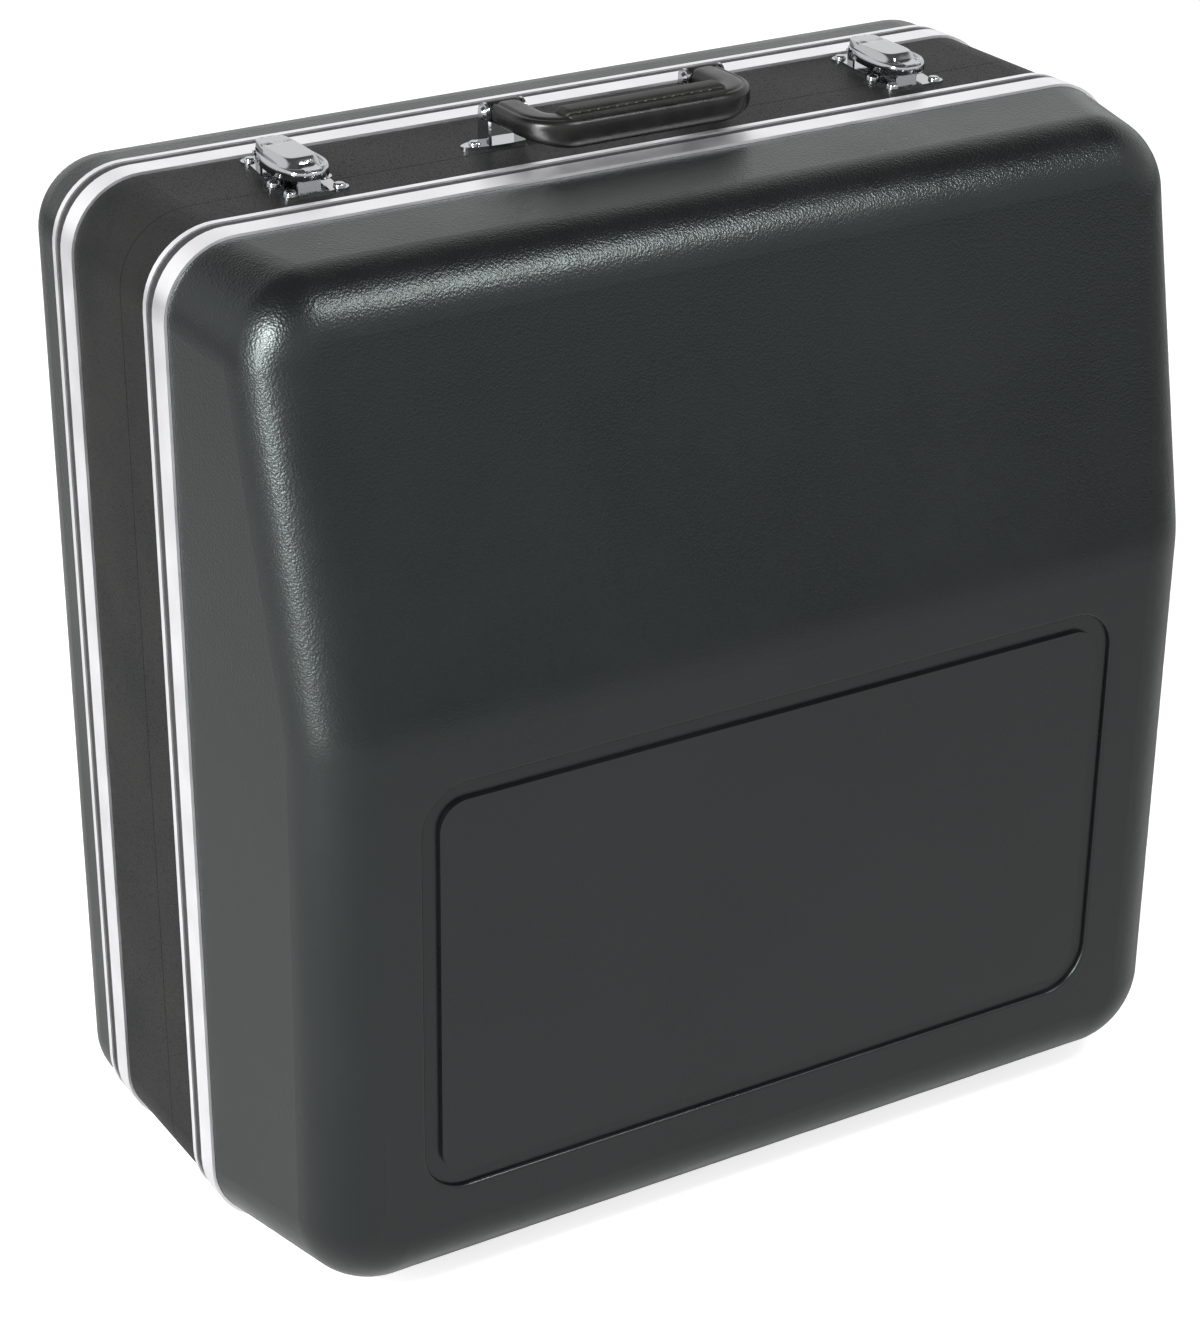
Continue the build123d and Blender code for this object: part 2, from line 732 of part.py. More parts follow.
with BuildPart() as hinge_pins:
    for side in sides.values():
        rod(hinge_pin_radius, hinge_length, seam_y, hinge_pin_z, side * hinge_offset)
finish(hinge_pins, "hinge_pins")

# Feet: rubber studs, each held by a sunk screw. The lid's are cut to the slope of its tapered shell.
foot_rise = {"lid": end_draft * (front_foot_setback + foot_top_radius) / front_depth, "body": 0.0}
for part, points in foot_points.items():
    foot_height = underside + foot_rise[part]
    with BuildPart() as feet:
        with Locations(*downward(points, foot_height)):
            Cone(foot_top_radius, foot_floor_radius, foot_height, align=on_base)
        with Locations(*upward(points, 0)):
            Cylinder(screw_head_radius + rivet_fit, 2 * (screw_sink + screw_head_height), mode=Mode.SUBTRACT)
            Cylinder(screw_radius + rivet_fit, 4 * foot_height, mode=Mode.SUBTRACT)
        if part == "lid":
            add(front_form(shell_inset), mode=Mode.SUBTRACT)
    finish(feet, f"feet_{part}")
    with BuildPart() as screws:
        with Locations(*upward(points, screw_sink)):
            Cylinder(screw_head_radius, screw_head_height, align=on_base)
            Cylinder(screw_radius, foot_height - screw_sink + shell_wall + screw_tip, align=on_base)
    finish(screws, f"foot_screws_{part}")
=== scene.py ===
import json

import bpy
import numpy as np
from mathutils import Matrix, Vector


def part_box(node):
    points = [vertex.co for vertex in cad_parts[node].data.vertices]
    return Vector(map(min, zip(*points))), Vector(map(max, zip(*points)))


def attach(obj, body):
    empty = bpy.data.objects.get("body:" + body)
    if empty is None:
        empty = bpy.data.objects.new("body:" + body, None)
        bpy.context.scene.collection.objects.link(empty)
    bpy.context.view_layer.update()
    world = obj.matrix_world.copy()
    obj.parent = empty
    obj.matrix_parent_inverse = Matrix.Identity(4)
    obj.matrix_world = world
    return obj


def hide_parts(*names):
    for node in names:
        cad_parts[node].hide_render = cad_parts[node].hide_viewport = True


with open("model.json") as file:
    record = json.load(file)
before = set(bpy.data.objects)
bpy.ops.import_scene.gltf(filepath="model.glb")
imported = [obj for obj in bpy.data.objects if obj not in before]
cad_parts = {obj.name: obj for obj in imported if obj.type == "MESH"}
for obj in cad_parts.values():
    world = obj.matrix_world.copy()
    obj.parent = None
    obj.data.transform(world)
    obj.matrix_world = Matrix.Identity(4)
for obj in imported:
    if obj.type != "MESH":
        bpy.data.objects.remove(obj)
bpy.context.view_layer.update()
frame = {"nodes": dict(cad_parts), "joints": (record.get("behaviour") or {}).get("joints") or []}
nodes = frame["nodes"]

# Camera. It stands in front of the case, to its left and above it, where the photograph was taken
# from. The lens is given for a 36 mm high sensor, and the whole case fills the frame.
photographer = bpy.data.objects.new("photographer", bpy.data.cameras.new("photographer"))
photographer.location = (-0.8686, -1.4309, 1.0621)
photographer.rotation_euler = (1.12269, 0.00104, -0.53479)
photographer.data.sensor_fit = "VERTICAL"
photographer.data.sensor_height = 36
photographer.data.lens = 96.47
bpy.context.scene.collection.objects.link(photographer)
bpy.context.scene.camera = photographer


def colour(code):
    """An sRGB hex colour as linear RGBA: each channel is undone from the sRGB curve."""
    channels = np.array([int(code[start : start + 2], 16) for start in (1, 3, 5)]) / 255
    linear = np.where(channels <= 0.04045, channels / 12.92, ((channels + 0.055) / 1.055) ** 2.4)
    return (*(float(value) for value in linear), 1.0)


def feed(node, inputs):
    """Gives a node's inputs what they take: a link from a socket, or else a plain value."""
    for name, value in inputs.items():
        if isinstance(value, bpy.types.NodeSocket):
            node.id_data.links.new(value, node.inputs[name])
        else:
            node.inputs[name].default_value = value


def put(tree, kind, inputs=None, **settings):
    """Adds one node, with its inputs fed and its own properties set."""
    node = tree.nodes.new(kind)
    for name, value in settings.items():
        setattr(node, name, value)
    feed(node, inputs or {})
    return node


# Surround: a white studio under a dark ceiling. Its walls are white to the camera and in reflections,
# and a duller grey where they light the case. The ceiling darkens reflections that rise steeply, from
# a rise of 0.50 to one of 0.80, and the camera never sees it.
bpy.context.scene.view_settings.view_transform = "Standard"
surround = bpy.data.worlds.new("white_surround")
surround.use_nodes = True
surround.node_tree.nodes.clear()
bpy.context.scene.world = surround
tree = surround.node_tree
ray = put(tree, "ShaderNodeLightPath")
camera_ray, glossy_ray = ray.outputs["Is Camera Ray"], ray.outputs["Is Glossy Ray"]
clear_ray = ray.outputs["Is Transmission Ray"]
seen = put(tree, "ShaderNodeMath", {0: camera_ray, 1: glossy_ray}, operation="MAXIMUM")
seen = put(tree, "ShaderNodeMath", {0: seen.outputs[0], 1: clear_ray}, operation="MAXIMUM")
fill = put(tree, "ShaderNodeBackground", {"Color": colour("#F2F4F5"), "Strength": 0.5})
heading = put(tree, "ShaderNodeTexCoord")
direction = put(tree, "ShaderNodeSeparateXYZ", {"Vector": heading.outputs["Generated"]})
ceiling = put(
    tree,
    "ShaderNodeMapRange",
    {"Value": direction.outputs["Z"], "From Min": 0.50, "From Max": 0.80, "To Min": 1.0, "To Max": 0.12},
    interpolation_type="SMOOTHSTEP",
)
wall = put(tree, "ShaderNodeMath", {0: ceiling.outputs[0], 1: camera_ray}, operation="MAXIMUM")
white = put(tree, "ShaderNodeBackground", {"Color": colour("#FFFFFF"), "Strength": wall.outputs[0]})
either = put(tree, "ShaderNodeMixShader", {0: seen.outputs[0], 1: fill.outputs[0], 2: white.outputs[0]})
put(tree, "ShaderNodeOutputWorld", {"Surface": either.outputs[0]})

# Floor: a sweep of matt white paper under the case, which takes its shadow. A glow lifts it to white for
# the camera, and lifts its reflections a little.
floor_reach = 14.0
floor_corners = [(floor_reach * x, floor_reach * y, 0) for x, y in ((-1, -1), (1, -1), (1, 1), (-1, 1))]
floor_mesh = bpy.data.meshes.new("paper_sweep")
floor_mesh.from_pydata(floor_corners, [], [(0, 1, 2, 3)])
paper_sweep = bpy.data.objects.new("paper_sweep", floor_mesh)
bpy.context.scene.collection.objects.link(paper_sweep)
paper = bpy.data.materials.new("matt_white_paper")
paper.use_nodes = True
tree = paper.node_tree
ray = put(tree, "ShaderNodeLightPath")
camera_ray, glossy_ray = ray.outputs["Is Camera Ray"], ray.outputs["Is Glossy Ray"]
seen = put(tree, "ShaderNodeMath", {0: camera_ray, 1: glossy_ray}, operation="MAXIMUM")
lift = put(tree, "ShaderNodeMapRange", {"Value": camera_ray, "To Min": 0.05, "To Max": 0.75})
glow = put(tree, "ShaderNodeMath", {0: seen.outputs[0], 1: lift.outputs[0]}, operation="MULTIPLY")
shader = tree.nodes["Principled BSDF"]
feed(shader, {"Base Color": colour("#BDBDBC"), "Roughness": 0.9})
feed(shader, {"Emission Color": colour("#FFFFFF"), "Emission Strength": glow.outputs[0]})
floor_mesh.materials.append(paper)

# Lamps: a soft box high on the left of the camera makes the bright corner of the bulge, a tall one on
# the left draws the line down its side, and one overhead lights the top edge. Each has its place, what
# it points at, its width and height, and its power in watts.
lamps = {
    "corner_box": ((-2.35, -1.15, 2.00), (0.0, -0.12, 0.42), (0.60, 0.60), 130.0),
    "side_strip": ((-2.45, -0.90, 0.75), (-0.2, -0.10, 0.35), (0.26, 1.20), 60.0),
    "top_box": ((0.70, -1.25, 2.10), (0.0, -0.05, 0.50), (0.40, 0.50), 26.0),
}
for name, (place, aim, (across, tall), power) in lamps.items():
    lamp = bpy.data.lights.new(name, "AREA")
    lamp.shape = "RECTANGLE"
    lamp.size = across
    lamp.size_y = tall
    lamp.energy = power
    stand = bpy.data.objects.new(name, lamp)
    bpy.context.scene.collection.objects.link(stand)
    back = np.subtract(place, aim) / np.linalg.norm(np.subtract(place, aim))
    side = np.cross((0, 0, 1), back) / np.linalg.norm(np.cross((0, 0, 1), back))
    turned = np.eye(4)
    turned[:3] = np.column_stack([side, np.cross(back, side), back, place])
    stand.matrix_world = Matrix(turned.tolist())
    stand.visible_camera = False


def skin(name, inputs):
    """A new material with its shader's plain values set. Returns it, its tree, its shader and the Object
    coordinates that its patterns are laid out on."""
    material = bpy.data.materials.new(name)
    material.use_nodes = True
    tree = material.node_tree
    shader = tree.nodes["Principled BSDF"]
    feed(shader, inputs)
    return material, tree, shader, put(tree, "ShaderNodeTexCoord").outputs["Object"]


def dress(material, *names):
    """Gives CAD nodes one material in place of what they came with."""
    for name in names:
        nodes[name].data.materials.clear()
        nodes[name].data.materials.append(material)


# Shells: two vacuum-formed ABS mouldings, black right through. The tool's pebble grain, 1.1 mm across,
# stands out on the upper part of the front and fades below the ridge, where the hot sheet was drawn
# further. Handling clouds the gloss in wide patches.
pebble_size = 0.0011
grain_depth = 0.0003
grain_fades_from, grain_fades_to = 0.38, 0.27
# The Specular Tint paints a faint green cast into the shell's reflections, a painted reflection of greenish
# surroundings.
abs_gloss_and_tinted_reflection = {"IOR": 1.54, "Specular IOR Level": 0.4, "Specular Tint": colour("#EEFBF8")}
pebbled_abs, tree, shader, place = skin("pebbled_black_abs", abs_gloss_and_tinted_reflection)
pebble = put(
    tree,
    "ShaderNodeTexVoronoi",
    {"Vector": place, "Scale": 1 / pebble_size, "Smoothness": 0.6},
    feature="SMOOTH_F1",
)
grit = put(tree, "ShaderNodeTexNoise", {"Vector": place, "Scale": 0.7 / pebble_size, "Detail": 2.0})
relief = put(
    tree,
    "ShaderNodeMix",
    {"Factor": 0.45, "A": pebble.outputs["Distance"], "B": grit.outputs["Fac"]},
    data_type="FLOAT",
)
height = put(tree, "ShaderNodeSeparateXYZ", {"Vector": place})
fade = {"From Min": grain_fades_to, "From Max": grain_fades_from, "To Min": 0.14, "To Max": 0.75}
grain = put(
    tree, "ShaderNodeMapRange", {"Value": height.outputs["Z"], **fade}, interpolation_type="SMOOTHSTEP"
)
dents = put(
    tree,
    "ShaderNodeBump",
    {"Height": relief.outputs["Result"], "Strength": grain.outputs["Result"], "Distance": grain_depth},
)
bloom = put(tree, "ShaderNodeTexNoise", {"Vector": place, "Scale": 7.0, "Detail": 5.0, "Roughness": 0.6})
gloss = put(
    tree,
    "ShaderNodeMapRange",
    {"Value": bloom.outputs["Fac"], "From Min": 0.3, "From Max": 0.7, "To Min": 0.23, "To Max": 0.36},
)
tint = put(tree, "ShaderNodeValToRGB", {"Fac": bloom.outputs["Fac"]})
deep_stop, pale_stop = tint.color_ramp.elements
deep_stop.position, deep_stop.color = 0.30, colour("#050607")
pale_stop.position, pale_stop.color = 0.72, colour("#0A0B0C")
feed(shader, {"Base Color": tint.outputs["Color"], "Roughness": gloss.outputs["Result"]})
feed(shader, {"Normal": dents.outputs["Normal"]})
dress(pebbled_abs, "front_shell", "back_shell")

# Trims: bent aluminium extrusions, bright anodised and clipped over the edges of shell and collar.
# The die leaves fine lines 0.4 mm apart across the band and some 50 mm long, and handling leaves a
# faint cloudiness in patches of 25 mm.
die_line, die_line_length = 0.0004, 0.05
cloud_size = 0.025
anodised, tree, shader, place = skin(
    "bright_anodised_aluminium", {"Base Color": colour("#F6F5F8"), "Metallic": 1.0}
)
line_scale = (1 / die_line_length, 1 / die_line, 1 / die_line_length)
stretch = put(tree, "ShaderNodeMapping", {"Vector": place, "Scale": line_scale})
lines = put(tree, "ShaderNodeTexNoise", {"Vector": stretch.outputs[0], "Scale": 1.0, "Detail": 3.0})
drawn = put(tree, "ShaderNodeBump", {"Height": lines.outputs["Fac"], "Strength": 0.06, "Distance": 0.0002})
cloud = put(tree, "ShaderNodeTexNoise", {"Vector": place, "Scale": 1 / cloud_size, "Detail": 4.0})
wiped = put(
    tree,
    "ShaderNodeMapRange",
    {"Value": cloud.outputs["Fac"], "From Min": 0.3, "From Max": 0.7, "To Min": 0.30, "To Max": 0.44},
)
feed(shader, {"Roughness": wiped.outputs["Result"], "Normal": drawn.outputs["Normal"]})
dress(anodised, "front_trim", "rear_trim")

# Strips in the trims' grooves: matt black vinyl, extruded flat and pressed in along the whole bend.
# Wiping has scuffed it a little, in grey flecks of about 3 mm.
vinyl_strip, tree, shader, place = skin("matt_black_vinyl_strip", {"Roughness": 0.55})
scuff = put(tree, "ShaderNodeTexNoise", {"Vector": place, "Scale": 350.0, "Detail": 4.0})
worn = put(tree, "ShaderNodeValToRGB", {"Fac": scuff.outputs["Fac"]})
clean_stop, scuffed_stop = worn.color_ramp.elements
clean_stop.position, clean_stop.color = 0.35, colour("#0C0C0C")
scuffed_stop.position, scuffed_stop.color = 0.80, colour("#1E1E1D")
rub = put(tree, "ShaderNodeBump", {"Height": scuff.outputs["Fac"], "Strength": 0.2, "Distance": 0.0002})
feed(shader, {"Base Color": worn.outputs["Color"], "Normal": rub.outputs["Normal"]})
dress(vinyl_strip, "front_trim_insert", "rear_trim_insert")

# Collars: board covered with black leathercloth. Its pressed grain has cells of about 1.4 mm, rubbed
# smooth on top, with shallow creases between them. The dye is paler in patches of some 45 mm, where
# the cloth was stretched round the board.
leather_cell = 0.0014
leathercloth, tree, shader, place = skin("black_leathercloth", {"Specular IOR Level": 0.12})
cells = put(
    tree, "ShaderNodeTexVoronoi", {"Vector": place, "Scale": 1 / leather_cell}, feature="DISTANCE_TO_EDGE"
)
crease = put(tree, "ShaderNodeMapRange", {"Value": cells.outputs["Distance"], "From Max": 0.16})
cell_tops = crease.outputs["Result"]
creased = put(tree, "ShaderNodeBump", {"Height": cell_tops, "Strength": 0.30, "Distance": 0.0002})
rubbed = put(tree, "ShaderNodeMapRange", {"Value": cell_tops, "To Min": 0.62, "To Max": 0.42})
shade = put(tree, "ShaderNodeTexNoise", {"Vector": place, "Scale": 22.0, "Detail": 4.0})
dye = put(tree, "ShaderNodeValToRGB", {"Fac": shade.outputs["Fac"]})
dyed_stop, stretched_stop = dye.color_ramp.elements
dyed_stop.position, dyed_stop.color = 0.30, colour("#0D0E0E")
stretched_stop.position, stretched_stop.color = 0.75, colour("#181917")
feed(shader, {"Base Color": dye.outputs["Color"], "Roughness": rubbed.outputs["Result"]})
feed(shader, {"Normal": creased.outputs["Normal"]})
dress(leathercloth, "front_collar", "rear_collar")

# Seam tongue: a black frame of pressed fibreboard, glued inside the rear collar, which keys the closed
# lid. Short fibres, about 1 mm long, show in its lacquer.
fibreboard, tree, shader, place = skin("lacquered_fibreboard", {"Roughness": 0.5})
fibres = put(
    tree, "ShaderNodeTexNoise", {"Vector": place, "Scale": 900.0, "Detail": 3.0, "Distortion": 1.5}
)
pressed = put(tree, "ShaderNodeBump", {"Height": fibres.outputs["Fac"], "Strength": 0.3, "Distance": 0.0002})
flecks = put(tree, "ShaderNodeValToRGB", {"Fac": fibres.outputs["Fac"]})
lacquer_stop, fibre_stop = flecks.color_ramp.elements
lacquer_stop.position, lacquer_stop.color = 0.40, colour("#0E0D0D")
fibre_stop.position, fibre_stop.color = 0.75, colour("#211F1D")
feed(shader, {"Base Color": flecks.outputs["Color"], "Normal": pressed.outputs["Normal"]})
dress(fibreboard, "seam_tongue")


def facing_out(grid):
    """The grid with its rows in the order that turns its quads outwards: the volume that they enclose,
    a sixth of the sum of each corner's dot with the cross of its next two, is then above nought."""
    from_middle = grid - grid.reshape(-1, 3).mean(axis=0)
    after = np.roll(from_middle, -1, axis=1)
    half = np.cross(after[:-1], after[1:]) + np.cross(after[1:], from_middle[1:])
    return grid if np.sum(from_middle[:-1] * half) > 0 else grid[::-1]


def closed_mesh(name, shells, rings=()):
    """A mesh of grids of points. A row's last point joins its first, and quads lie between neighbouring
    rows. A shell has one face over its first row and one over its last; a ring's last row joins its
    first."""
    points, faces = [], []
    for is_ring, grids in ((False, shells), (True, rings)):
        for grid in map(facing_out, grids):
            index = len(points) + np.arange(grid.shape[0] * grid.shape[1]).reshape(grid.shape[:2])
            ends = [] if is_ring else [index[0, ::-1].tolist(), index[-1].tolist()]
            if is_ring:
                index = np.concatenate([index, index[:1]])
            after = np.roll(index, -1, axis=1)
            quads = np.stack([index[:-1], after[:-1], after[1:], index[1:]], axis=-1)
            faces += quads.reshape(-1, 4).tolist() + ends
            points += grid.reshape(-1, 3).tolist()
    mesh = bpy.data.meshes.new(name)
    mesh.from_pydata(points, [], faces)
    mesh.shade_smooth()
    return mesh


def add_piece(name, mesh, material, body):
    """Puts a mesh in the scene as a piece that rides on a body and takes one material."""
    piece = bpy.data.objects.new(name, mesh)
    mesh.materials.append(material)
    bpy.context.scene.collection.objects.link(piece)
    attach(piece, body)
    return piece


# Linings: tubs of foam board covered with crimson plush, glued into the lid and the body. The pile is
# short, in tufts of 0.7 mm, and it leans one way or the other in soft patches.
pile_size = 0.0007
plush, tree, shader, place = skin(
    "crimson_plush",
    {"Roughness": 0.9, "Sheen Weight": 0.6, "Sheen Roughness": 0.35, "Sheen Tint": colour("#C8707C")},
)
pile = put(tree, "ShaderNodeTexNoise", {"Vector": place, "Scale": 1 / pile_size, "Detail": 2.0})
brushed = put(
    tree, "ShaderNodeTexNoise", {"Vector": place, "Scale": 14.0, "Detail": 3.0, "Distortion": 0.8}
)
nap_and_pile_shade = put(
    tree,
    "ShaderNodeMix",
    {"Factor": 0.35, "A": brushed.outputs["Fac"], "B": pile.outputs["Fac"]},
    data_type="FLOAT",
)
# The colour paints shade into the plush: darker in the hollows between tufts and paler on their tips, and
# darker or paler in soft patches as the leaning pile would catch the light.
crimson = put(tree, "ShaderNodeValToRGB", {"Fac": nap_and_pile_shade.outputs["Result"]})
shaded_hollow_stop, lit_tip_stop = crimson.color_ramp.elements
shaded_hollow_stop.position, shaded_hollow_stop.color = 0.34, colour("#4C0A16")
lit_tip_stop.position, lit_tip_stop.color = 0.66, colour("#66111F")
tufts = put(tree, "ShaderNodeBump", {"Height": pile.outputs["Fac"], "Strength": 0.7, "Distance": 0.0005})
feed(shader, {"Base Color": crimson.outputs["Color"], "Normal": tufts.outputs["Normal"]})

run_steps, corner_steps = 36, 10
run = np.linspace(-1, 1, run_steps, endpoint=False)
bend = np.linspace(0, np.pi / 2, corner_steps, endpoint=False)
around_angle = np.concatenate(
    [np.concatenate([np.full(run_steps, start), start + bend]) for start in np.arange(4) * np.pi / 2]
)
on_run, on_corner = np.ones(run_steps), np.ones(corner_steps)
around_x = np.concatenate([on_run, on_corner, -run, -on_corner, -on_run, -on_corner, run, on_corner])
around_z = np.concatenate([run, on_corner, on_run, on_corner, -run, -on_corner, -on_run, -on_corner])


def outline_rows(half_width, half_height, radius):
    """Rows of points round a rounded rectangle. A column is one place on it: its corner's centre, as a
    share of the half sizes less the radius, plus the radius along that place's own angle."""
    x = around_x * (half_width - radius) + radius * np.cos(around_angle)
    z = around_z * (half_height - radius) + radius * np.sin(around_angle)
    return x, z


foam_thick = 0.0045
foam_swell = 0.004
least_corner = 0.004
lip_share = 0.35
turn_steps = np.linspace(0, np.pi / 2, 9)[1:, None]
floor_steps = np.linspace(0.02, 1, 22)[:, None]
wall_steps = np.linspace(0, 1, 16)[1:, None]


def tub(half_width, half_height, rim_y, floor_at, rounding, corner, draft):
    """A padded tub as one closed surface of rows from the middle of its inside, out over the floor, up
    the wall, over the rim and back down the outside. A row is the rounded outline, scaled on the
    floor, and set in by the draft times its depth on the wall; a quarter circle joins the two. On the
    inside the floor and the walls swell by a sine between their edges, as foam under cloth does. The
    lip in the middle of the rim stands proud by a share of the foam's thickness."""
    toward = np.sign(floor_at(0, 0) - rim_y)
    walls = []
    for inset, swell in ((foam_thick, foam_swell), (0.0, 0.0)):
        radius = rounding - inset
        wide, tall, curve = half_width - inset - draft[0], half_height - inset - draft[1], corner - inset
        edge_x, edge_z = outline_rows(wide - radius, tall - radius, max(curve - radius, least_corner))
        x, z = edge_x * floor_steps, edge_z * floor_steps
        y = floor_at(x, z) - toward * inset - swell * np.sin(np.pi * floor_steps) * toward
        floor = np.stack([x, y, z], axis=-1)
        spread, lift = radius * np.sin(turn_steps), radius * (1 - np.cos(turn_steps))
        grown = np.maximum(curve - radius + spread, least_corner)
        x, z = outline_rows(wide - radius + spread, tall - radius + spread, grown)
        turn = np.stack([x, floor_at(x, z) - toward * (inset + lift), z], axis=-1)
        out_x, out_z = draft[0] * wall_steps, draft[1] * wall_steps
        bulge = swell * 0.5 * np.sin(np.pi * wall_steps)
        x, z = outline_rows(wide + out_x - bulge, tall + out_z - bulge, curve + out_x - bulge)
        foot_y = turn[-1, :, 1]
        wall = np.stack([x, foot_y + (rim_y - foot_y) * wall_steps, z], axis=-1)
        walls.append(np.concatenate([floor, turn, wall]))
    inside, outside = walls
    lip = (inside[-1] + outside[-1]) / 2 - np.array([0, toward * foam_thick * lip_share, 0])
    return np.concatenate([inside, lip[None], outside[::-1]])


lid_low, lid_high = (np.array(corner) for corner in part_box("lid_lining"))
body_low, body_high = (np.array(corner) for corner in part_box("body_lining"))
middle_z = (lid_low[2] + lid_high[2]) / 2
pile_room = 0.0006
half_width, half_height = lid_high[0] - pile_room, (lid_high[2] - lid_low[2]) / 2 - pile_room
ridge_z = 0.327
ridge_softness = 0.012
face_lean = 0.046 / 0.214
chin_lean = 0.009 / 0.319


def lid_floor(x, z):
    """Depth of the lid's inside: it leans back above the ridge and a little below it, and the ridge is
    the hyperbola between these two slopes."""
    above = z + middle_z - ridge_z
    mean_slope, half_turn = (face_lean - chin_lean) / 2, (face_lean + chin_lean) / 2
    bent_back = half_turn * (np.hypot(above, ridge_softness) - ridge_softness)
    return lid_low[1] + pile_room + mean_slope * above + bent_back + 0 * x


def body_floor(x, z):
    """Depth of the body's inside: it is flat."""
    return body_high[1] - pile_room + 0 * x


lid_tub = tub(
    half_width, half_height, lid_high[1], lid_floor, rounding=0.032, corner=0.036, draft=(0.015, 0.005)
)
lid_tub[..., 2] += middle_z
piece = add_piece("lid_plush", closed_mesh("lid_plush", [lid_tub]), plush, "lid")
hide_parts("lid_lining")

body_tub = tub(
    half_width, half_height, body_low[1], body_floor, rounding=0.026, corner=0.032, draft=(0.0, 0.0)
)
body_tub[..., 2] += middle_z
piece = add_piece("body_plush", closed_mesh("body_plush", [body_tub]), plush, "body")
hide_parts("body_lining")

# Latches and brackets: steel stampings, polished, nickel plated and chromed, and held by rivets of
# the same finish. The buffing leaves faint waves about 6 mm long, and dust dulls the plate in patches.
wave_length = 0.00625
chrome, tree, shader, place = skin("chrome_plated_steel", {"Base Color": colour("#B6B8BA"), "Metallic": 1.0})
ripple = put(tree, "ShaderNodeTexNoise", {"Vector": place, "Scale": 1 / wave_length, "Detail": 2.0})
buffed = put(tree, "ShaderNodeBump", {"Height": ripple.outputs["Fac"], "Strength": 0.10, "Distance": 0.0005})
dust = put(tree, "ShaderNodeTexNoise", {"Vector": place, "Scale": 420.0, "Detail": 4.0})
dulled = put(
    tree,
    "ShaderNodeMapRange",
    {"Value": dust.outputs["Fac"], "From Min": 0.4, "From Max": 0.75, "To Min": 0.05, "To Max": 0.20},
)
feed(shader, {"Roughness": dulled.outputs["Result"], "Normal": buffed.outputs["Normal"]})
for side in ("left", "right"):
    dress(chrome, f"latch_plate_{side}", f"latch_strike_{side}", f"latch_claw_{side}")
    dress(chrome, f"latch_pins_{side}", f"handle_bracket_{side}")
dress(chrome, "latch_plate_rivets", "latch_strike_rivets", "handle_bracket_rivets", "handle_pins")

# Latch levers: each is drawn from one sheet of the same chromed steel, with a raised cover over the
# claw, a trough and a bead round it, and a notch across the cover where it bends over the pins.
cover_half_width, cover_power = 0.0082, 5.0
rim_spread, rim_taper, rim_power = 0.0053, 0.0018, 2.4
rim_height = 0.0036
nose_overhang = 0.0125
drop_ends = 0.45
bead_starts, bead_height = 0.5, 0.0016
notch_from_heel, notch_depth, notch_width = 0.0115, 0.0008, 0.0006
sheet_thick, inner_share = 0.0010, 0.97


def signed_power(value, power):
    """The value with its size raised to a power and its sign kept. With a cosine for one side and a
    sine for the other, it draws a superellipse."""
    return np.sign(value) * np.abs(value) ** power


def lever_pressing(middle_x, floor_z, top_z, nose_y, heel_y):
    """The latch lever as a closed skin of rows from the middle outwards and back below. Rows pass from
    the outline of its boxy cover to that of its oval rim, both superellipses. Going outwards the
    height stays level on the cover, drops by a smooth step into a trough, rises over a round bead by
    a sine, and ends in a short skirt. The notch is a bell curve across the cover near the heel."""
    turn = np.linspace(0, 2 * np.pi, 120, endpoint=False)[None, :]
    step = np.concatenate([np.linspace(0.02, 0.5, 10), np.linspace(0.52, 1, 28)])[:, None]
    outer = np.clip((step - 0.5) / 0.5, 0, 1)
    power = cover_power + (rim_power - cover_power) * outer
    front = nose_y + nose_overhang * (1 - outer)
    middle_y, half_length = (heel_y + front) / 2, (heel_y - front) / 2
    reach = np.minimum(step / 0.5, 1)
    along = signed_power(np.sin(turn), 2 / power)
    half_width = cover_half_width + (rim_spread - rim_taper * along) * outer
    x = half_width * reach * signed_power(np.cos(turn), 2 / power)
    y = middle_y + half_length * reach * along
    drop = np.clip(outer / drop_ends, 0, 1)
    drop = drop * drop * (3 - 2 * drop)
    bead = bead_height * np.sin(np.pi * np.clip((outer - bead_starts) / (1 - bead_starts), 0, 1))
    across_notch = (y - (heel_y - notch_from_heel)) / notch_width
    notch = notch_depth * (1 - drop) * np.exp(-(across_notch**2))
    z = top_z - (top_z - (floor_z + rim_height)) * drop + bead - notch
    top = np.stack([middle_x + x, y, z], axis=-1)
    skirt = top[-1:].copy()
    skirt[..., 2] = floor_z
    below = top[::-1] - np.array([0, 0, sheet_thick])
    below[..., 0] = middle_x + inner_share * (below[..., 0] - middle_x)
    return np.concatenate([top, skirt, below])


for side in ("left", "right"):
    low, high = (np.array(corner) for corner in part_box(f"latch_lever_{side}"))
    pressing = lever_pressing((low[0] + high[0]) / 2, low[2], high[2], low[1], high[1])
    mesh = closed_mesh(f"lever_pressing_{side}", [pressing])
    piece = add_piece(f"lever_pressing_{side}", mesh, chrome, f"lever_{side}")
    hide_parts(f"latch_lever_{side}")

